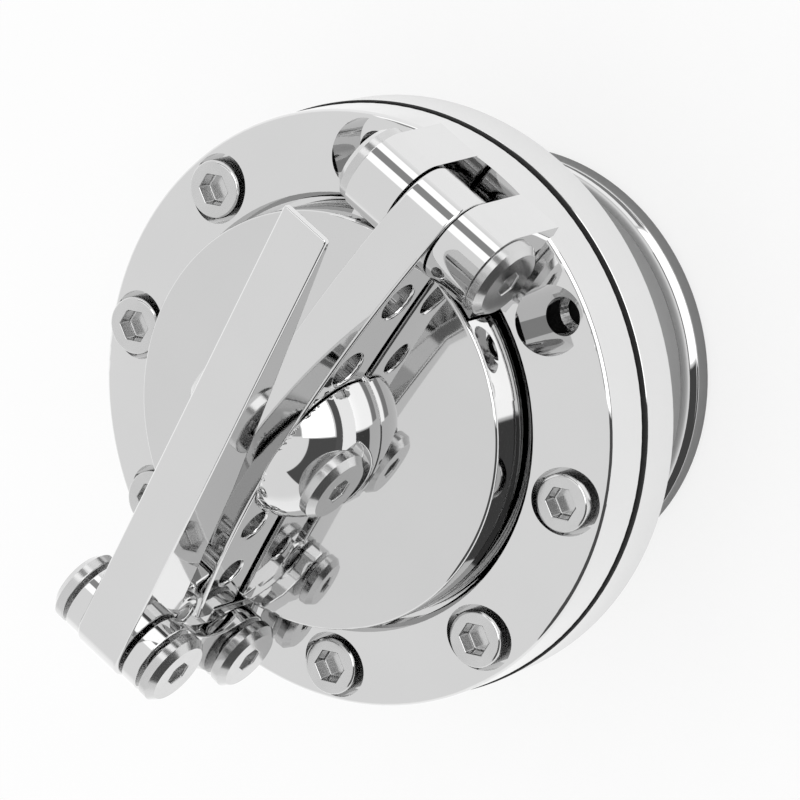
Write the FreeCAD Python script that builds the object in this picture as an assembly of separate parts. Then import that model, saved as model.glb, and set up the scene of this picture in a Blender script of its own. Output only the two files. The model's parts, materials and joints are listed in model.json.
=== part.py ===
# Quick release fuel cap: a bolted flange on a round filler neck, with a hinged lid
# that a lever and two links clamp shut.
# Millimetres. +Z points out of the filler neck, +X points to the hinge.
# The origin is the centre of the neck ring's top face.
import FreeCAD, Part
import math
import os

os.makedirs("parts", exist_ok=True)

# Lid, which the flange and the latch are laid out from
LID_R = 35.6
LID_T = 11.5
LID_DOME = 3.0
LID_EDGE = 0.9
LID_GAP = 0.9
RECESS_GAP = 1.0
RECESS_DEPTH = 1.5
GROOVE_HEIGHTS = (0.6, 3.9)
GROOVE_SIZE = 0.35
SEAL_RIM = 1.2
SEAL_W = 3.8
SEAL_GROOVE_DEPTH = 1.8
SEAL_GAP = 0.1
SEAT_LAND = 0.6
SPIGOT_GAP = 1.5
SPIGOT_WALL = 3.0
SPIGOT_LENGTH = 5.1

# Flange screws
SCREW_ANGLES = (-30.0, 30.0, 70.0, 110.0, 150.0, -150.0, -110.0, -70.0)
EMPTY_HOLES = 2
SCREW_R = 3.0
SCREW_HEAD_EXTRA = 2.0
SCREW_HEAD_H = 6.0
SCREW_HEAD_EDGE = 0.7
SCREW_HEX_AF = 5.0
SCREW_HEX_DEPTH = 3.0
SCREW_REACH = 7.5
THREAD_GAP = 0.05
HOLE_GAP = 0.3
COUNTERBORE_GAP = 0.9
COUNTERBORE_DEPTH = 3.2
COUNTERBORE_INSET = 1.7
COUNTERBORE_RIM = 0.9

# Flange stack
GASKET_T = 1.5
GASKET_INSET = 0.6
BEZEL_T = 9.9
BEZEL_EDGE = 1.4
BEZEL_SLOPE_DEG = 11.8
BEZEL_LIP = 0.9
RING_T = 9.0
RING_EDGE = 0.4
THROAT_STEP = 2.6
NECK_WALL = 5.0
NECK_LENGTH = 35.0
NECK_FILLET = 3.0
NECK_GROOVE_RISE = 10.0
NECK_GROOVE_HALF_W = 3.0
NECK_GROOVE_DEPTH = 1.6
NECK_EDGE = 1.0

# Boss on the lid, a slotted ball
BALL_R = 15.0
BALL_RISE = 2.7
BOSS_SLOT_FLOOR_GAP = 0.6
BOSS_STEM_R = 6.0
STEM_GAP = 0.05
SPOTFACE_EXTRA = 1.6
SPOTFACE_Y = 12.2
BOSS_PIVOT_RISE = 6.0
WASHER_R = 9.5
WASHER_T = 2.0
FIXING_HEAD_H = 5.0
FIXING_REACH = 8.0

# Hinge
HINGE_RISE = 11.0
KNUCKLE_R = 7.6
EAR_Y = 13.8
HINGE_SLOT_GAP = 0.3
HINGE_HEAD_INSET = 0.4

# Arm
ARM_HALF_W = 4.8
ARM_PEAK_RISE = 5.8
ARM_FLOOR_RISE = 1.1
ARM_FLOOR_R = 200.0
ARM_END_REACH = 3.0
ARM_TOE_REACH = 0.1
ARM_TOE_RISE = 6.5
ARM_SLOT_GAP = 0.2
LID_CLEARANCE = 0.6
# Cross holes: place along the arm over the lid's radius, height over the lid, radius
ARM_HOLES = ((0.879, 7.5, 3.5), (0.492, 10.8, 3.25), (-0.469, 10.4, 2.75), (-0.781, 8.4, 2.5))

# Fulcrum ear at the arm's free end
FULCRUM_INSET = 0.6
FULCRUM_RISE = 16.9
FULCRUM_EAR_R = 3.2
FULCRUM_EAR_HALF_W = 2.3
FULCRUM_NECK_INSET = 0.35
DOWEL_R = 1.6

# Lever, from its fulcrum
LEVER_PIN_BACK = 5.5
LEVER_PIN_RISE = 5.7
CHEEK_R = 3.8
CHEEK_END_DEG = 39.4
HEEL_EXTRA = 0.1
HEEL_SHOULDER_DEG = 142.0
HEEL_SHOULDER_EXTRA = 0.4
HEEL_TOP = (-7.0, 13.6)
LEVER_TIP = (86.3, 28.5)
LEVER_TIP_T = 1.7
LEVER_BELLY = (30.6, 8.9)
HEEL_SLOT_HALF_W = 2.5
HEEL_SLOT_GAP = 0.4
HEEL_SLOT_LEG = 15.0
LEVER_CLOSE_DEG = 14.0
LEVER_OPEN_DEG = 18.0

# Links
LINK_WAIST = 3.8
LINK_T = 3.2
LINK_GAP = 0.4

# Pivot screws and their sleeves
PIVOT_HEAD_R = 6.6
PIVOT_HEAD_T = 2.8
PIVOT_HEAD_EDGE = 1.1
PIVOT_HEAD_GAP = 0.8
PIVOT_R = 3.0
PIVOT_SCREW_INSET = 1.1
PIVOT_HEX_AF = 4.0
PIVOT_HEX_DEPTH = 1.8
HINGE_PIN_R = 4.0
HINGE_SCREW_INSET = 1.5
RUNNING = 0.05

# Catch hook, which stands just outside the recess
HOOK_SETBACK = 0.5
HOOK_HALF_W = 4.5
HOOK_POST_T = 1.8
HOOK_NOSE_REACH = 3.1
HOOK_NOSE_T = 2.2
HOOK_RISE = 5.7
HOOK_FOOT_REACH = 6.9
HOOK_FOOT_H = 3.4
CATCH_PIN_GAP = 0.6
CATCH_PIN_DROP = 6.7

# Radii worked out from the sizes above
SCREW_HEAD_R = SCREW_R + SCREW_HEAD_EXTRA
CLEARANCE_HOLE_R = SCREW_R + HOLE_GAP
COUNTERBORE_R = SCREW_HEAD_R + COUNTERBORE_GAP
RECESS_R = LID_R + RECESS_GAP
SCREW_CIRCLE_R = RECESS_R + COUNTERBORE_INSET + COUNTERBORE_R
FLANGE_R = SCREW_CIRCLE_R + COUNTERBORE_R + COUNTERBORE_RIM
SEAL_OUTER_R = LID_R - SEAL_RIM
SEAL_INNER_R = SEAL_OUTER_R - SEAL_W
THROAT_R = SEAL_INNER_R - SEAT_LAND
SPIGOT_R = THROAT_R - SPIGOT_GAP
NECK_BORE_R = THROAT_R + THROAT_STEP
NECK_R = NECK_BORE_R + NECK_WALL
CREST_R = RECESS_R + BEZEL_LIP
SPOTFACE_R = PIVOT_HEAD_R + SPOTFACE_EXTRA
LINK_END_R = PIVOT_HEAD_R
HEEL_R = LINK_END_R + HEEL_EXTRA
HINGE_HEAD_R = KNUCKLE_R - HINGE_HEAD_INSET
PIVOT_SCREW_R = PIVOT_R - PIVOT_SCREW_INSET
HINGE_SCREW_R = HINGE_PIN_R - HINGE_SCREW_INSET

# Heights worked out from the sizes above
FACE_Z = GASKET_T + BEZEL_T
RECESS_Z = FACE_Z - RECESS_DEPTH
SEAT_Z = FACE_Z - COUNTERBORE_DEPTH
NECK_TOP_Z = -RING_T - NECK_FILLET
NECK_END_Z = -RING_T - NECK_LENGTH
NECK_GROOVE_Z = NECK_END_Z + NECK_GROOVE_RISE
LID_BOTTOM_Z = RECESS_Z + LID_GAP
LID_TOP_Z = LID_BOTTOM_Z + LID_T
LID_CROWN_Z = LID_TOP_Z + LID_DOME
BALL_Z = LID_CROWN_Z + BALL_RISE
BOSS_PIVOT_Z = BALL_Z + BOSS_PIVOT_RISE
ARM_PEAK_Z = BOSS_PIVOT_Z + ARM_PEAK_RISE
ARM_FLOOR_Z = LID_CROWN_Z + ARM_FLOOR_RISE
ARM_TOE_Z = LID_TOP_Z + ARM_TOE_RISE
HOOK_TOP_Z = LID_TOP_Z + HOOK_RISE

# Pivots as (x, z), and the places that go with them
HINGE = (FLANGE_R - KNUCKLE_R, FACE_Z + HINGE_RISE)
BOSS_PIVOT = (0, BOSS_PIVOT_Z)
FULCRUM = (FULCRUM_INSET - LID_R, LID_TOP_Z + FULCRUM_RISE)
LEVER_PIN = (FULCRUM[0] - LEVER_PIN_BACK, FULCRUM[1] + LEVER_PIN_RISE)
HOOK_INNER_X = -RECESS_R - HOOK_SETBACK
HOOK_NOSE_X = HOOK_INNER_X - HOOK_NOSE_REACH
CATCH_PIN = (HOOK_NOSE_X - CATCH_PIN_GAP - PIVOT_R, HOOK_TOP_Z - CATCH_PIN_DROP)
ARM_END_X = FULCRUM[0] - ARM_END_REACH
ARM_TOE_X = -LID_R - LID_CLEARANCE - ARM_TOE_REACH
ARM_DROP = ARM_PEAK_Z - HINGE[1]
ARM_TOP_R = (HINGE[0] ** 2 + ARM_DROP ** 2 - KNUCKLE_R ** 2) / (2 * (ARM_DROP - KNUCKLE_R))

# Widths to each side of the middle plane
HINGE_SLOT_Y = ARM_HALF_W + HINGE_SLOT_GAP
ARM_SLOT_Y = ARM_HALF_W + ARM_SLOT_GAP
LINK_Y = ARM_HALF_W + LINK_GAP
LINK_OUTER_Y = LINK_Y + LINK_T
PIVOT_HEAD_Y = LINK_OUTER_Y + PIVOT_HEAD_GAP

# Longer than anything that is cut
BIG = 200.0


def write(name, shape):
    shape.removeSplitter().exportStep("parts/" + name + ".step")


def xz(point, y=0.0):
    return FreeCAD.Vector(point[0], y, point[1])


def around(centre, radius, degrees):
    turn = math.radians(degrees)
    return (centre[0] + radius * math.cos(turn), centre[1] + radius * math.sin(turn))


def outline(start, *steps):
    """Face in the XZ plane; a step is an end point, or a (middle, end) pair for an arc."""
    here = start
    edges = []
    for step in steps:
        if isinstance(step[0], tuple):
            middle, end = step
            edges.append(Part.Arc(xz(here), xz(middle), xz(end)).toShape())
        else:
            end = step
            edges.append(Part.LineSegment(xz(here), xz(end)).toShape())
        here = end
    if here != start:
        edges.append(Part.LineSegment(xz(here), xz(start)).toShape())
    return Part.Face(Part.Wire(edges))


def turned(face):
    """Solid of a profile turned about the neck's axis."""
    return face.revolve(FreeCAD.Vector(0, 0, 0), FreeCAD.Vector(0, 0, 1), 360)


def slab(face, y_low, y_high):
    """A profile in the XZ plane made thick from y_low to y_high."""
    placed = face.copy()
    placed.translate(FreeCAD.Vector(0, y_low, 0))
    return placed.extrude(FreeCAD.Vector(0, y_high - y_low, 0))


def rounded(radius, z, edge):
    """Steps of a turned profile that round the outer corner at (radius, z), going up."""
    inset = edge * (1 - math.sqrt(0.5))
    return (radius, z - edge), ((radius - inset, z - inset), (radius - edge, z))


def post(centre, radius, z_low, z_high):
    """Cylinder along Z at an (x, y) centre."""
    return Part.makeCylinder(radius, z_high - z_low, FreeCAD.Vector(centre[0], centre[1], z_low))


def ring(outer, inner, z_low, z_high):
    return post((0, 0), outer, z_low, z_high).cut(post((0, 0), inner, z_low, z_high))


def rod(centre, radius, y_low, y_high):
    """Cylinder along Y at an (x, z) centre."""
    base = FreeCAD.Vector(centre[0], y_low, centre[1])
    return Part.makeCylinder(radius, y_high - y_low, base, FreeCAD.Vector(0, 1, 0))


def block(x_low, x_high, half_y, z_low, z_high):
    corner = FreeCAD.Vector(x_low, -half_y, z_low)
    return Part.makeBox(x_high - x_low, 2 * half_y, z_high - z_low, corner)


def hexagon(across_flats, z_low, z_high):
    """Hexagonal prism along Z on the axis."""
    corner_r = across_flats / math.sqrt(3)
    corners = [FreeCAD.Vector(*around((0, 0), corner_r, 60 * i), z_low) for i in range(7)]
    return Part.Face(Part.makePolygon(corners)).extrude(FreeCAD.Vector(0, 0, z_high - z_low))


def screw_places():
    return [around((0, 0), SCREW_CIRCLE_R, angle) for angle in SCREW_ANGLES]


def screw_holes(radius, z_low, z_high):
    return Part.Compound([post(place, radius, z_low, z_high) for place in screw_places()])


def bezel_disc():
    """Flange that rises from its rounded edge to a bevelled lip round the lid's recess."""
    edge_centre = (FLANGE_R - BEZEL_EDGE, FACE_Z - BEZEL_EDGE)
    edge_end = around(edge_centre, BEZEL_EDGE, 90 - BEZEL_SLOPE_DEG)
    edge_arc = (around(edge_centre, BEZEL_EDGE, 45 - BEZEL_SLOPE_DEG / 2), edge_end)
    crest_z = edge_end[1] + (edge_end[0] - CREST_R) * math.tan(math.radians(BEZEL_SLOPE_DEG))
    return turned(outline((THROAT_R, GASKET_T), (FLANGE_R, GASKET_T), (FLANGE_R, edge_centre[1]), edge_arc,
                          (CREST_R, crest_z), (RECESS_R, crest_z - BEZEL_LIP), (RECESS_R, RECESS_Z),
                          (THROAT_R, RECESS_Z)))


def make_bezel():
    """Flange with its throat, the lid's recess and the hinge ears."""
    disc = bezel_disc()
    ears = rod(HINGE, KNUCKLE_R, -EAR_Y, EAR_Y)
    ears = ears.fuse(block(THROAT_R, FLANGE_R, EAR_Y, RECESS_Z, HINGE[1]))
    ears = ears.common(ring(FLANGE_R, RECESS_R, RECESS_Z, BIG))
    bezel = disc.fuse(ears).cut(block(THROAT_R, BIG, HINGE_SLOT_Y, RECESS_Z, BIG))
    bezel = bezel.cut(rod(HINGE, HINGE_PIN_R + RUNNING, -EAR_Y, EAR_Y))
    bezel = bezel.cut(screw_holes(CLEARANCE_HOLE_R, GASKET_T, SEAT_Z))
    return bezel.cut(screw_holes(COUNTERBORE_R, SEAT_Z, BIG))


def make_catch_hook():
    """Hook fixed to the bezel's face, whose nose the catch pin is pulled under."""
    post_outer_x = HOOK_INNER_X - HOOK_POST_T
    foot_x = HOOK_INNER_X - HOOK_FOOT_REACH
    foot_z = FACE_Z + HOOK_FOOT_H
    nose_z = HOOK_TOP_Z - HOOK_NOSE_T
    side = outline((HOOK_INNER_X, FACE_Z), (HOOK_INNER_X, HOOK_TOP_Z), (HOOK_NOSE_X, HOOK_TOP_Z),
                   (HOOK_NOSE_X, nose_z), (post_outer_x, nose_z), (post_outer_x, foot_z),
                   (foot_x, foot_z), (foot_x, FACE_Z))
    return slab(side, -HOOK_HALF_W, HOOK_HALF_W).cut(bezel_disc())


def make_gasket():
    flat = ring(FLANGE_R - GASKET_INSET, NECK_BORE_R, 0, GASKET_T)
    return flat.cut(screw_holes(CLEARANCE_HOLE_R, 0, GASKET_T))


def make_neck_ring():
    """Tapped ring that the bezel is screwed down to, flared below into the neck."""
    flare = NECK_FILLET * (1 - math.sqrt(0.5))
    profile = outline((NECK_BORE_R, NECK_TOP_Z), (NECK_R, NECK_TOP_Z),
                      ((NECK_R + flare, -RING_T - flare), (NECK_R + NECK_FILLET, -RING_T)),
                      (FLANGE_R - RING_EDGE, -RING_T), (FLANGE_R, RING_EDGE - RING_T),
                      (FLANGE_R, -RING_EDGE), (FLANGE_R - RING_EDGE, 0), (NECK_BORE_R, 0))
    return turned(profile).cut(screw_holes(SCREW_R + THREAD_GAP, -RING_T, 0))


def make_filler_neck():
    """Tube welded under the ring."""
    return ring(NECK_R, NECK_BORE_R, NECK_GROOVE_Z, NECK_TOP_Z)


def make_neck_end():
    """End of the neck, with a hollow groove that a hose is clamped into."""
    groove_low = NECK_GROOVE_Z - 2 * NECK_GROOVE_HALF_W
    groove_floor = (NECK_R - NECK_GROOVE_DEPTH, NECK_GROOVE_Z - NECK_GROOVE_HALF_W)
    return turned(outline((NECK_BORE_R, NECK_END_Z), (NECK_R - NECK_EDGE, NECK_END_Z),
                          (NECK_R, NECK_END_Z + NECK_EDGE), (NECK_R, groove_low),
                          (groove_floor, (NECK_R, NECK_GROOVE_Z)), (NECK_BORE_R, NECK_GROOVE_Z)))


def make_cap_screw(seat_z, head_h, reach):
    """Socket head cap screw on the axis, its head above seat_z."""
    top_z = seat_z + head_h
    edge_low, edge_arc = rounded(SCREW_HEAD_R, top_z, SCREW_HEAD_EDGE)
    screw = turned(outline((0, seat_z - reach), (SCREW_R, seat_z - reach), (SCREW_R, seat_z),
                           (SCREW_HEAD_R, seat_z), edge_low, edge_arc, (0, top_z)))
    return screw.cut(hexagon(SCREW_HEX_AF, top_z - SCREW_HEX_DEPTH, top_z))


def lid_profile(inner_r):
    """Half section of the lid from inner_r out: domed on top, with a seal groove below."""
    edge_low, edge_arc = rounded(LID_R, LID_TOP_Z, LID_EDGE)
    flat_r = LID_R - LID_EDGE
    dome_r = (flat_r ** 2 + LID_DOME ** 2) / (2 * LID_DOME)
    groove_top = LID_BOTTOM_Z + SEAL_GROOVE_DEPTH

    def on_dome(radius):
        return (radius, LID_CROWN_Z - dome_r + math.sqrt(dome_r ** 2 - radius ** 2))

    return outline((inner_r, LID_BOTTOM_Z), (SEAL_INNER_R, LID_BOTTOM_Z), (SEAL_INNER_R, groove_top),
                   (SEAL_OUTER_R, groove_top), (SEAL_OUTER_R, LID_BOTTOM_Z), (LID_R, LID_BOTTOM_Z),
                   edge_low, edge_arc, (on_dome((flat_r + inner_r) / 2), on_dome(inner_r)))


def make_lid():
    """Domed mirror-bright disc with grooves round its wall."""
    lid = turned(lid_profile(BOSS_STEM_R + STEM_GAP))
    for height in GROOVE_HEIGHTS:
        z_low = LID_BOTTOM_Z + height
        lid = lid.cut(ring(LID_R, LID_R - GROOVE_SIZE, z_low, z_low + GROOVE_SIZE))
    return lid


def make_lid_spigot():
    """Ring under the lid that centres it in the throat."""
    return ring(SPIGOT_R, SPIGOT_R - SPIGOT_WALL, LID_BOTTOM_Z - SPIGOT_LENGTH, LID_BOTTOM_Z)


def make_lid_seal():
    return ring(SEAL_OUTER_R, SEAL_INNER_R, RECESS_Z + SEAL_GAP, LID_BOTTOM_Z + SEAL_GROOVE_DEPTH)


def make_lid_boss():
    """Ball on a stem, slotted for the arm and spotfaced for its pivot."""
    ball = Part.makeSphere(BALL_R, FreeCAD.Vector(0, 0, BALL_Z))
    ball = ball.common(block(-BIG, BIG, BIG, LID_TOP_Z, BIG)).cut(turned(lid_profile(0)))
    boss = ball.fuse(post((0, 0), BOSS_STEM_R, LID_BOTTOM_Z + STEM_GAP, LID_CROWN_Z))
    boss = boss.cut(block(-BIG, BIG, ARM_SLOT_Y, ARM_FLOOR_Z - BOSS_SLOT_FLOOR_GAP, BIG))
    boss = boss.cut(rod(BOSS_PIVOT, SPOTFACE_R, SPOTFACE_Y, BALL_R))
    boss = boss.cut(rod(BOSS_PIVOT, SPOTFACE_R, -BALL_R, -SPOTFACE_Y))
    boss = boss.cut(rod(BOSS_PIVOT, PIVOT_R + RUNNING, -BALL_R, BALL_R))
    return boss.cut(post((0, 0), SCREW_R + THREAD_GAP, LID_BOTTOM_Z, LID_BOTTOM_Z + FIXING_REACH))


def make_boss_washer():
    return ring(WASHER_R, CLEARANCE_HOLE_R, LID_BOTTOM_Z - WASHER_T, LID_BOTTOM_Z)


def make_arm():
    """Arched bar from the hinge knuckle over the lid to the fulcrum ear."""
    top_centre_z = ARM_PEAK_Z - ARM_TOP_R
    floor_centre_z = ARM_FLOOR_Z - ARM_FLOOR_R
    tangent_x = HINGE[0] * ARM_TOP_R / (ARM_TOP_R - KNUCKLE_R)

    def on_top(x):
        return (x, top_centre_z + math.sqrt(ARM_TOP_R ** 2 - x ** 2))

    def on_floor(x):
        return (x, floor_centre_z + math.sqrt(ARM_FLOOR_R ** 2 - x ** 2))

    bar = outline(on_floor(ARM_TOE_X), (on_floor(0), on_floor(HINGE[0] - KNUCKLE_R)), HINGE,
                  on_top(tangent_x), (on_top(0), on_top(ARM_END_X)), (ARM_END_X, ARM_TOE_Z),
                  (ARM_TOE_X, ARM_TOE_Z))
    arm = slab(bar, -ARM_HALF_W, ARM_HALF_W)
    arm = arm.fuse(rod(HINGE, KNUCKLE_R, -ARM_HALF_W, ARM_HALF_W))
    arm = arm.cut(post((0, 0), LID_R + LID_CLEARANCE, 0, LID_TOP_Z + LID_CLEARANCE))
    ear = rod(FULCRUM, FULCRUM_EAR_R, -FULCRUM_EAR_HALF_W, FULCRUM_EAR_HALF_W)
    neck = block(FULCRUM[0] - FULCRUM_EAR_R + FULCRUM_NECK_INSET, FULCRUM[0] + FULCRUM_EAR_R,
                 FULCRUM_EAR_HALF_W, ARM_TOE_Z, FULCRUM[1])
    arm = arm.fuse([ear, neck])
    holes = [rod((along * LID_R, LID_TOP_Z + rise), radius, -ARM_HALF_W, ARM_HALF_W)
             for along, rise, radius in ARM_HOLES]
    holes.append(rod(HINGE, HINGE_PIN_R + RUNNING, -ARM_HALF_W, ARM_HALF_W))
    holes.append(rod(BOSS_PIVOT, PIVOT_R + RUNNING, -ARM_HALF_W, ARM_HALF_W))
    holes.append(rod(FULCRUM, DOWEL_R, -ARM_HALF_W, ARM_HALF_W))
    return arm.cut(holes)


def make_dowel():
    return rod(FULCRUM, DOWEL_R, -ARM_HALF_W, ARM_HALF_W)


def make_lever():
    """Tapered handle whose heel straddles the fulcrum ear and carries the links' pin."""
    heel_top = (FULCRUM[0] + HEEL_TOP[0], FULCRUM[1] + HEEL_TOP[1])
    tip_top = (FULCRUM[0] + LEVER_TIP[0], FULCRUM[1] + LEVER_TIP[1])
    belly = (FULCRUM[0] + LEVER_BELLY[0], FULCRUM[1] + LEVER_BELLY[1])
    reach = math.dist(LEVER_PIN, FULCRUM)
    towards = math.degrees(math.atan2(-LEVER_PIN_RISE, LEVER_PIN_BACK))
    tangent = towards - math.degrees(math.acos((HEEL_R - CHEEK_R) / reach))
    shoulder = around(LEVER_PIN, HEEL_R + HEEL_SHOULDER_EXTRA, HEEL_SHOULDER_DEG)
    heel_turn = (around(LEVER_PIN, HEEL_R, (tangent - 180) / 2), around(LEVER_PIN, HEEL_R, tangent))
    cheek_turn = (around(FULCRUM, CHEEK_R, (tangent + CHEEK_END_DEG) / 2),
                  around(FULCRUM, CHEEK_R, CHEEK_END_DEG))
    side = outline(heel_top, (shoulder, around(LEVER_PIN, HEEL_R, 180)), heel_turn,
                   around(FULCRUM, CHEEK_R, tangent), cheek_turn,
                   belly, (tip_top[0], tip_top[1] - LEVER_TIP_T), tip_top)
    lever = slab(side, -ARM_HALF_W, ARM_HALF_W)
    slot_r = FULCRUM_EAR_R + HEEL_SLOT_GAP
    slot = rod(FULCRUM, slot_r, -HEEL_SLOT_HALF_W, HEEL_SLOT_HALF_W)
    for turn in (-LEVER_OPEN_DEG, -LEVER_OPEN_DEG / 2, 0, LEVER_CLOSE_DEG):
        leg = block(FULCRUM[0] - slot_r, FULCRUM[0] + slot_r, HEEL_SLOT_HALF_W,
                    FULCRUM[1] - HEEL_SLOT_LEG, FULCRUM[1])
        leg.rotate(xz(FULCRUM), FreeCAD.Vector(0, -1, 0), turn)
        slot = slot.fuse(leg)
    holes = [rod(LEVER_PIN, PIVOT_R + RUNNING, -ARM_HALF_W, ARM_HALF_W),
             rod(FULCRUM, DOWEL_R + RUNNING, -ARM_HALF_W, ARM_HALF_W)]
    return lever.cut(slot).cut(holes)


def make_link(y_low, y_high):
    """Dog-bone plate between the lever's pin and the catch pin."""
    top = LEVER_PIN
    low = CATCH_PIN
    half = math.dist(top, low) / 2
    waist_r = (half ** 2 + LINK_WAIST ** 2 - LINK_END_R ** 2) / (2 * (LINK_END_R - LINK_WAIST))
    along = math.degrees(math.atan2(top[1] - low[1], top[0] - low[0]))
    lean = math.degrees(math.atan2(waist_r + LINK_WAIST, half))
    middle = ((top[0] + low[0]) / 2, (top[1] + low[1]) / 2)
    side = outline(around(low, LINK_END_R, along + lean),
                   (around(low, LINK_END_R, along + 180), around(low, LINK_END_R, along - lean)),
                   (around(middle, LINK_WAIST, along - 90), around(top, LINK_END_R, along + 180 + lean)),
                   (around(top, LINK_END_R, along), around(top, LINK_END_R, along + 180 - lean)),
                   (around(middle, LINK_WAIST, along + 90), around(low, LINK_END_R, along + lean)))
    plate = slab(side, y_low, y_high)
    return plate.cut([rod(top, PIVOT_R + RUNNING, y_low, y_high),
                      rod(low, PIVOT_R + RUNNING, y_low, y_high)])


def pivot_head(head_r, half_grip):
    """Bevelled head along Z above half_grip, to be laid over onto a pivot."""
    top = half_grip + PIVOT_HEAD_T
    return turned(outline((0, half_grip), (head_r, half_grip), (head_r, top - PIVOT_HEAD_EDGE),
                          (head_r - PIVOT_HEAD_EDGE, top), (0, top)))


def lay_over(shape, centre, degrees):
    """Turn a shape from the Z axis onto the line along Y through an (x, z) centre."""
    shape.rotate(FreeCAD.Vector(0, 0, 0), FreeCAD.Vector(1, 0, 0), degrees)
    shape.translate(xz(centre))
    return shape


def make_pivot_screw(centre, head_r, screw_r, half_grip):
    """Screw whose head is on the -Y side."""
    top = half_grip + PIVOT_HEAD_T
    shape = pivot_head(head_r, half_grip).fuse(post((0, 0), screw_r, 0, half_grip))
    shape = shape.cut(hexagon(PIVOT_HEX_AF, top - PIVOT_HEX_DEPTH, top))
    return lay_over(shape, centre, 90)


def make_pivot_sleeve(centre, head_r, pin_r, screw_r, half_grip):
    """Headed sleeve from the +Y side that the screw goes into; it is the bearing."""
    barrel = post((0, 0), pin_r, -half_grip, half_grip)
    top = half_grip + PIVOT_HEAD_T
    shape = pivot_head(head_r, half_grip).fuse(barrel)
    shape = shape.cut(post((0, 0), screw_r + THREAD_GAP, -half_grip, RUNNING))
    shape = shape.cut(hexagon(PIVOT_HEX_AF, top - PIVOT_HEX_DEPTH, top))
    return lay_over(shape, centre, -90)


write("bezel", make_bezel())
write("catch_hook", make_catch_hook())
write("gasket", make_gasket())
write("neck_ring", make_neck_ring())
write("filler_neck", make_filler_neck())
write("neck_end_ring", make_neck_end())
for number, place in enumerate(screw_places()[EMPTY_HOLES:], start=1):
    screw = make_cap_screw(SEAT_Z, SCREW_HEAD_H, SEAT_Z + SCREW_REACH)
    screw.translate(FreeCAD.Vector(place[0], place[1], 0))
    write("flange_screw_" + str(number), screw)
write("lid", make_lid())
write("lid_spigot", make_lid_spigot())
write("lid_seal", make_lid_seal())
write("lid_boss", make_lid_boss())
write("boss_washer", make_boss_washer())
write("boss_fixing_screw", lay_over(make_cap_screw(WASHER_T - LID_BOTTOM_Z, FIXING_HEAD_H, FIXING_REACH),
                                    (0, 0), 180))
write("arm", make_arm())
write("fulcrum_dowel", make_dowel())
write("lever", make_lever())
write("link_left", make_link(-LINK_OUTER_Y, -LINK_Y))
write("link_right", make_link(LINK_Y, LINK_OUTER_Y))
PIVOTS = (("hinge", HINGE, HINGE_HEAD_R, HINGE_PIN_R, HINGE_SCREW_R, EAR_Y),
          ("boss_pivot", BOSS_PIVOT, PIVOT_HEAD_R, PIVOT_R, PIVOT_SCREW_R, SPOTFACE_Y),
          ("lever_pin", LEVER_PIN, PIVOT_HEAD_R, PIVOT_R, PIVOT_SCREW_R, PIVOT_HEAD_Y),
          ("catch_pin", CATCH_PIN, PIVOT_HEAD_R, PIVOT_R, PIVOT_SCREW_R, PIVOT_HEAD_Y))
for name, centre, head_r, pin_r, screw_r, half_grip in PIVOTS:
    write(name + "_screw", make_pivot_screw(centre, head_r, screw_r, half_grip))
    write(name + "_sleeve", make_pivot_sleeve(centre, head_r, pin_r, screw_r, half_grip))
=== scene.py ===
"""Polished quick release fuel cap on a white ground, seen from above the hinge side."""
import json
import math
import bpy
from mathutils import Matrix, Vector


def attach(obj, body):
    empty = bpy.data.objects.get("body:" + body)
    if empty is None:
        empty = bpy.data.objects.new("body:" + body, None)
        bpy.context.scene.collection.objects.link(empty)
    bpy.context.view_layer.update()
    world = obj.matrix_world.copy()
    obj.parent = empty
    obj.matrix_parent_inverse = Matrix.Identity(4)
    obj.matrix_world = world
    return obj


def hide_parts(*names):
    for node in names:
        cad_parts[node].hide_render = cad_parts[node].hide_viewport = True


# All lengths are in metres
FLOOR_Z = -0.044
FLOOR_R = 0.9
FLOOR_SIDES = 96

# Edges: width of the rounding, and the bends in degrees that shade sharp, get rounded and count as flat
ROUND = 0.0003
WELD = 0.000001
SHARP_DEG = 35
ROUND_DEG = 50
FLAT_DEG = 0.3
ROUND_SEGMENTS = 3
PLAIN_EDGES = ("bezel", "lid", "gasket", "lid_seal")
WIDE_EDGES = {"lever": 0.0007, "arm": 0.0006}

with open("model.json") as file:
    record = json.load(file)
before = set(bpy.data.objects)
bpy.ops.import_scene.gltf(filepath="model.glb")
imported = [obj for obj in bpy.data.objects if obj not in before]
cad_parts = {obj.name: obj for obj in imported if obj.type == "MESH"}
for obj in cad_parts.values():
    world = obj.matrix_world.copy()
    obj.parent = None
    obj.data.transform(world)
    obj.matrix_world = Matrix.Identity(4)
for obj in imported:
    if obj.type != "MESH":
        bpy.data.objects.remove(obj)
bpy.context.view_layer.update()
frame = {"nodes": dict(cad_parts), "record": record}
scene = bpy.context.scene


# Own pieces' sizes: the gasket's rim draws in by a share of its half height towards its edges
GASKET_R = 0.05125
GASKET_ROUND = 0.25
GASKET_SLACK = 0.00001
GASKET_TURNS = 256
GASKET_ARC_STEPS = 8
THREAD_PITCH = 0.001
THREAD_STEPS = 32
THREAD_DEPTH = 0.0085
THREAD_ROOT_R = 0.00334
THREAD_CREST_R = 0.00285
# Corners of the thread's ridge: radius, and height in pitches
THREAD_RIDGE = ((THREAD_ROOT_R, 0.0), (THREAD_CREST_R, 0.45), (THREAD_ROOT_R, 0.9))

# Camera, fitted to the flange's circles
CAMERA_AT = (0.47867, -0.35015, 0.85347)
CAMERA_RIGHT = (0.4652, -0.6977, -0.5449)
CAMERA_UP = (0.7565, 0.6331, -0.1647)
LENS = 275.4
SENSOR = 36.0


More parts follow.
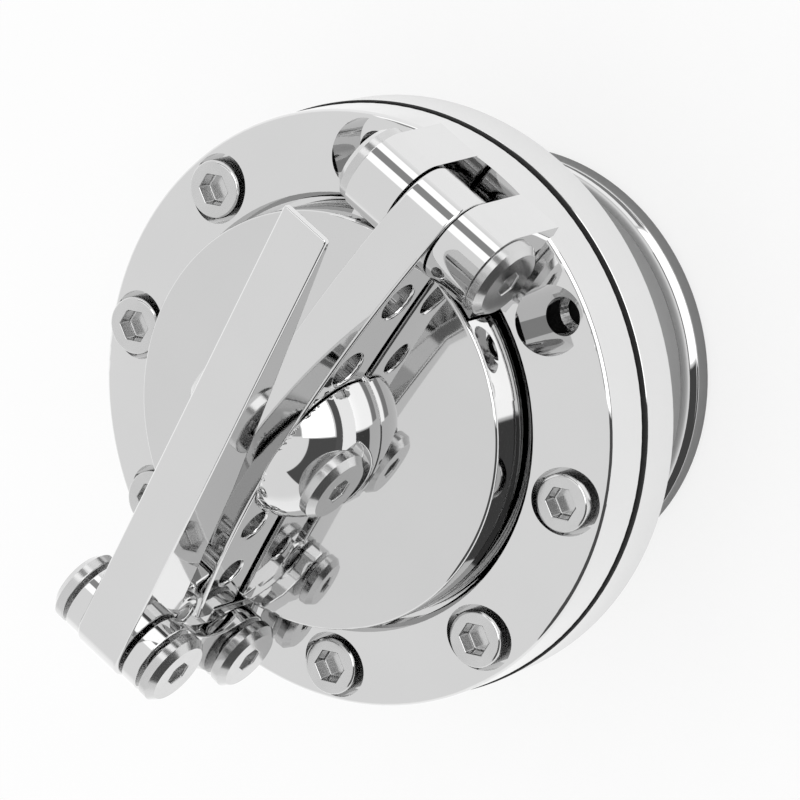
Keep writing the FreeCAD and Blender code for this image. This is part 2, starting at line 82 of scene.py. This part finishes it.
# Node trees
class Graph:
    """Adds nodes to a tree and links them."""

    def __init__(self, tree):
        self.tree = tree
        self.tree.nodes.clear()

    def node(self, kind, inputs=None, **settings):
        made = self.tree.nodes.new(kind)
        for name, value in settings.items():
            setattr(made, name, value)
        for name, value in (inputs or {}).items():
            socket = made.inputs[name]
            if isinstance(value, bpy.types.NodeSocket):
                self.tree.links.new(value, socket)
            else:
                socket.default_value = value
        return made

    def maths(self, operation, a, b=0.0):
        return self.node("ShaderNodeMath", {0: a, 1: b}, operation=operation).outputs[0]

    def spread(self, value, low, high, to_low=0.0, to_high=1.0):
        """value smoothed from to_low at low to to_high at high."""
        made = self.node("ShaderNodeMapRange", {"Value": value, "From Min": low, "From Max": high,
                                                "To Min": to_low, "To Max": to_high},
                         interpolation_type="SMOOTHSTEP")
        return made.outputs[0]

    def mirrored(self):
        """1 for rays that a polished face sends out, and 0 for the camera's and for diffuse light."""
        path = self.node("ShaderNodeLightPath")
        return self.maths("MAXIMUM", path.outputs["Is Glossy Ray"], path.outputs["Is Transmission Ray"])

    def blend(self, amount, a, b):
        """Grey level between a and b."""
        made = self.node("ShaderNodeMix", {0: amount, 2: a, 3: b}, data_type="FLOAT")
        return made.outputs[0]


# World
# Panels that the polished faces reflect: azimuth from, to, elevation from, to in degrees, strength
PANELS = (
    (-58, 4, 49, 62, 0.45),
    (-132, -60, -8, 41, 0.10),
    (-60, 4, 6, 49, 2.30),
    (4, 62, 6, 56, 1.60),
    (4, 62, 22, 40, 0.36),
    (-88, -8, -7, 5, 0.12),
)
PANEL_SOFT_DEG = 1.5
HORIZON_DEG = 8
CEILING = 1.02
GROUND = 1.2
# What the floor gives off: share that the camera sees, share and strength that polished faces see
FLOOR_SEEN = 0.75
FLOOR_MIRRORED = 0.6
FLOOR_STRENGTH = 1.4
# Radii of a painted shadow under the object: the floor's glow that polished faces see is dark inside the
# first and full beyond the second
PAINTED_SHADOW_R = (0.05, 0.088)


def make_world():
    world = bpy.data.worlds.new("studio")
    scene.world = world
    world.use_nodes = True
    g = Graph(world.node_tree)
    way = g.node("ShaderNodeSeparateXYZ", {0: g.node("ShaderNodeTexCoord").outputs["Generated"]})
    x, y, z = way.outputs[0], way.outputs[1], way.outputs[2]
    turn = g.maths("ARCTAN2", y, x)
    rise = g.maths("ARCSINE", z)
    grey = g.spread(rise, math.radians(-HORIZON_DEG), math.radians(HORIZON_DEG), GROUND, CEILING)
    soft = math.radians(PANEL_SOFT_DEG)
    for turn_low, turn_high, rise_low, rise_high, strength in PANELS:
        inside = 1.0
        for value, low, high in ((turn, turn_low, turn_high), (rise, rise_low, rise_high)):
            for edge, inward in ((math.radians(low), soft), (math.radians(high), -soft)):
                inside = g.maths("MULTIPLY", inside, g.spread(value, edge, edge + inward))
        grey = g.blend(inside, grey, strength)
    strength = g.blend(g.mirrored(), 1.0, grey)
    back = g.node("ShaderNodeBackground", {"Color": (1, 1, 1, 1), "Strength": strength})
    g.node("ShaderNodeOutputWorld", {"Surface": back.outputs[0]})


# Materials
def bsdf(g, **inputs):
    names = {key.replace("_", " "): value for key, value in inputs.items()}
    made = g.node("ShaderNodeBsdfPrincipled", names)
    g.node("ShaderNodeOutputMaterial", {"Surface": made.outputs[0]})
    return made


def new_material(name):
    material = bpy.data.materials.new(name)
    material.use_nodes = True
    return material, Graph(material.node_tree)


def polish(name, shade, rough, smear, wave):
    """Polished plate: faint haze in the shine and a slight unevenness of the surface."""
    material, g = new_material(name)
    place = g.node("ShaderNodeTexCoord").outputs["Object"]
    haze = g.node("ShaderNodeTexNoise", {"Vector": place, "Scale": 60.0, "Detail": 5.0}).outputs["Fac"]
    swell = g.node("ShaderNodeTexNoise", {"Vector": place, "Scale": 45.0, "Detail": 2.0}).outputs["Fac"]
    tint = g.spread(haze, 0.3, 0.7, shade * 0.985, shade)
    colour = g.node("ShaderNodeCombineColor", {0: tint, 1: tint, 2: tint}).outputs[0]
    bump = g.node("ShaderNodeBump", {"Height": swell, "Strength": 1.0, "Distance": wave})
    bsdf(g, Base_Color=colour, Metallic=1.0, Roughness=g.spread(haze, 0.3, 0.7, rough, rough + smear),
         Normal=bump.outputs[0])
    return material


def satin(name, shade, rough, grain):
    """Turned or ground steel with fine marks."""
    material, g = new_material(name)
    place = g.node("ShaderNodeTexCoord").outputs["Object"]
    fine = g.node("ShaderNodeTexNoise", {"Vector": place, "Scale": 900.0, "Detail": 4.0}).outputs["Fac"]
    broad = g.node("ShaderNodeTexNoise", {"Vector": place, "Scale": 160.0, "Detail": 3.0}).outputs["Fac"]
    tint = g.spread(broad, 0.3, 0.7, shade * 0.93, shade)
    colour = g.node("ShaderNodeCombineColor", {0: tint, 1: tint, 2: tint}).outputs[0]
    bump = g.node("ShaderNodeBump", {"Height": fine, "Strength": grain, "Distance": 0.00003})
    bsdf(g, Base_Color=colour, Metallic=1.0, Roughness=g.spread(broad, 0.3, 0.7, rough, rough * 1.25),
         Normal=bump.outputs[0])
    return material


def rubber(name):
    material, g = new_material(name)
    place = g.node("ShaderNodeTexCoord").outputs["Object"]
    fine = g.node("ShaderNodeTexNoise", {"Vector": place, "Scale": 1200.0, "Detail": 5.0}).outputs["Fac"]
    tint = g.spread(fine, 0.3, 0.7, 0.004, 0.010)
    colour = g.node("ShaderNodeCombineColor", {0: tint, 1: tint, 2: tint}).outputs[0]
    bump = g.node("ShaderNodeBump", {"Height": fine, "Strength": 0.4, "Distance": 0.00004})
    bsdf(g, Base_Color=colour, Roughness=g.spread(fine, 0.3, 0.7, 0.65, 0.85), Normal=bump.outputs[0],
         Specular_IOR_Level=0.2)
    return material


MATERIALS = {
    "chrome": polish("chrome", 0.64, 0.025, 0.02, 0.000003),
    "mirror_plate": polish("mirror_plate", 0.60, 0.03, 0.02, 0.000001),
    "neck_chrome": polish("neck_chrome", 0.52, 0.03, 0.02, 0.000003),
    "pivot_steel": satin("pivot_steel", 0.56, 0.16, 0.4),
    "screw_steel": satin("screw_steel", 0.58, 0.15, 0.4),
    "satin_steel": satin("satin_steel", 0.44, 0.3, 0.6),
    "rubber": rubber("rubber"),
}
slots = {part["node"]: part["material_slot"] for part in frame["record"]["subparts"]}


# The CAD pieces, with their edges rounded
def make_welding():
    """Node group that joins a piece's faces and shades it smooth except at its edges."""
    tree = bpy.data.node_groups.new("welding", "GeometryNodeTree")
    tree.interface.new_socket("Mesh", in_out="INPUT", socket_type="NodeSocketGeometry")
    tree.interface.new_socket("Mesh", in_out="OUTPUT", socket_type="NodeSocketGeometry")
    g = Graph(tree)
    bend = g.node("GeometryNodeInputMeshEdgeAngle").outputs["Unsigned Angle"]
    joined = g.node("GeometryNodeMergeByDistance",
                    {"Geometry": g.node("NodeGroupInput").outputs["Mesh"], "Distance": WELD})
    sharp = g.maths("GREATER_THAN", bend, math.radians(SHARP_DEG))
    shaded = g.node("GeometryNodeSetMeshNormal", {"Mesh": joined.outputs[0], "Edge Sharpness": sharp})
    g.node("NodeGroupOutput", {"Mesh": shaded.outputs[0]})
    return tree


welding = make_welding()
for name, piece in frame["nodes"].items():
    piece.data.materials.clear()
    piece.data.materials.append(MATERIALS[slots[name]])
    piece.modifiers.new("weld", "NODES").node_group = welding
    if name in PLAIN_EDGES:
        continue
    flats = piece.modifiers.new("flats", "DECIMATE")
    flats.decimate_type = "DISSOLVE"
    flats.angle_limit = math.radians(FLAT_DEG)
    edge = piece.modifiers.new("edges", "BEVEL")
    edge.use_clamp_overlap = False
    edge.width = WIDE_EDGES.get(name, ROUND)
    edge.segments = ROUND_SEGMENTS
    edge.limit_method = "ANGLE"
    edge.angle_limit = math.radians(ROUND_DEG)
    edge.harden_normals = True


# Own pieces
def make_piece(name, body, slot, points, faces):
    """Closed mesh that rides on a body."""
    mesh = bpy.data.meshes.new(name)
    mesh.from_pydata(points, [], faces)
    mesh.materials.append(MATERIALS[slot])
    piece = bpy.data.objects.new(name, mesh)
    scene.collection.objects.link(piece)
    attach(piece, body)
    return piece


def ring_mesh(profile, turns):
    """Closed ring turned from a closed profile of radius and height pairs."""
    count = len(profile)
    points = [(r * math.cos(a), r * math.sin(a), z)
              for a in (2 * math.pi * i / turns for i in range(turns)) for r, z in profile]
    faces = [(i * count + j, (i + 1) % turns * count + j,
              (i + 1) % turns * count + (j + 1) % count, i * count + (j + 1) % count)
             for i in range(turns) for j in range(count)]
    return points, faces


def thread_mesh(x, y, low, high):
    """Closed triangular ridge that winds up the wall of a hole."""
    steps = round((high - low) / THREAD_PITCH * THREAD_STEPS)
    points = []
    for i in range(steps + 1):
        turn = 2 * math.pi * i / THREAD_STEPS
        z = low + THREAD_PITCH * i / THREAD_STEPS
        for r, rise in THREAD_RIDGE:
            points.append((x + r * math.cos(turn), y + r * math.sin(turn), z + rise * THREAD_PITCH))
    faces = [(3 * i + j, 3 * i + (j + 1) % 3, 3 * i + 3 + (j + 1) % 3, 3 * i + 3 + j)
             for i in range(steps) for j in range(3)]
    return points, faces + [(0, 2, 1), (3 * steps, 3 * steps + 1, 3 * steps + 2)]


def box(name):
    """Low and high corner of a CAD piece."""
    corners = [Vector(corner) for corner in frame["nodes"][name].bound_box]
    return [[pick(corner[axis] for corner in corners) for axis in range(3)] for pick in (min, max)]


def mount(name):
    return next(row for row in frame["record"]["mounts"] if row["name"] == name)


def make_gasket():
    low, high = box("gasket")
    middle = (low[2] + high[2]) / 2
    half = (high[2] - low[2]) / 2 - GASKET_SLACK
    bulge = [(GASKET_R - half * (1 - math.cos(a)) * GASKET_ROUND, middle + half * math.sin(a))
             for a in (math.pi * (i / GASKET_ARC_STEPS - 0.5) for i in range(GASKET_ARC_STEPS + 1))]
    inner = mount("neck_bore")["dims"]["r_mm"] / 1000
    profile = [(inner, middle - half), *bulge, (inner, middle + half)]
    ring = make_piece("gasket_ring", "root", "rubber", *ring_mesh(profile, GASKET_TURNS))
    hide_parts("gasket")


def make_threads():
    holes = mount("spare_screw_holes")
    x, middle, top = holes["pos_m"]
    half = holes["dims"]["spacing_y_mm"] / 2000
    low = box("gasket")[0][2] - THREAD_DEPTH
    for side, y in (("right", middle - half), ("left", middle + half)):
        make_piece("thread_" + side, "root", "screw_steel", *thread_mesh(x, y, low, top - THREAD_PITCH))


make_gasket()
make_threads()


# Floor
def make_floor():
    mesh = bpy.data.meshes.new("floor")
    corners = [(FLOOR_R * math.cos(a), FLOOR_R * math.sin(a), FLOOR_Z)
               for a in (2 * math.pi * i / FLOOR_SIDES for i in range(FLOOR_SIDES))]
    mesh.from_pydata(corners, [], [tuple(range(FLOOR_SIDES))])
    floor = bpy.data.objects.new("floor", mesh)
    scene.collection.objects.link(floor)
    material, g = new_material("floor")
    place = g.node("ShaderNodeTexCoord").outputs["Object"]
    grain = g.node("ShaderNodeTexNoise", {"Vector": place, "Scale": 40.0, "Detail": 3.0}).outputs["Fac"]
    tint = g.spread(grain, 0.3, 0.7, 0.96, 0.98)
    colour = g.node("ShaderNodeCombineColor", {0: tint, 1: tint, 2: tint}).outputs[0]
    paint = g.node("ShaderNodeBsdfDiffuse", {"Color": colour})
    reach = g.node("ShaderNodeVectorMath", {0: place}, operation="LENGTH").outputs["Value"]
    # Painted shadow: the glow that polished faces see is dark under the object and rises to full
    # strength between the two radii
    glow_past_painted_shadow = g.maths("MULTIPLY", FLOOR_STRENGTH, g.spread(reach, *PAINTED_SHADOW_R))
    strength = g.blend(g.mirrored(), 1.0, glow_past_painted_shadow)
    glow = g.node("ShaderNodeEmission", {"Color": (1, 1, 1, 1), "Strength": strength})
    seen = g.maths("MULTIPLY", g.node("ShaderNodeLightPath").outputs["Is Camera Ray"], FLOOR_SEEN)
    share = g.maths("ADD", seen, g.maths("MULTIPLY", g.mirrored(), FLOOR_MIRRORED))
    mixed = g.node("ShaderNodeMixShader", {0: share, 1: paint.outputs[0], 2: glow.outputs[0]})
    g.node("ShaderNodeOutputMaterial", {"Surface": mixed.outputs[0]})
    mesh.materials.append(material)


# Camera
def make_camera():
    data = bpy.data.cameras.new("camera")
    camera = bpy.data.objects.new("camera", data)
    scene.collection.objects.link(camera)
    right = Vector(CAMERA_RIGHT).normalized()
    up = Vector(CAMERA_UP)
    up = (up - right * up.dot(right)).normalized()
    back = right.cross(up)
    camera.matrix_world = Matrix((
        (right.x, up.x, back.x, CAMERA_AT[0]),
        (right.y, up.y, back.y, CAMERA_AT[1]),
        (right.z, up.z, back.z, CAMERA_AT[2]),
        (0, 0, 0, 1)))
    data.lens = LENS
    data.sensor_width = SENSOR
    data.clip_start = 0.05
    data.clip_end = 20.0
    scene.camera = camera


make_world()
make_floor()
make_camera()

scene.cycles.max_bounces = 24
scene.cycles.glossy_bounces = 24
scene.view_settings.view_transform = "Standard"
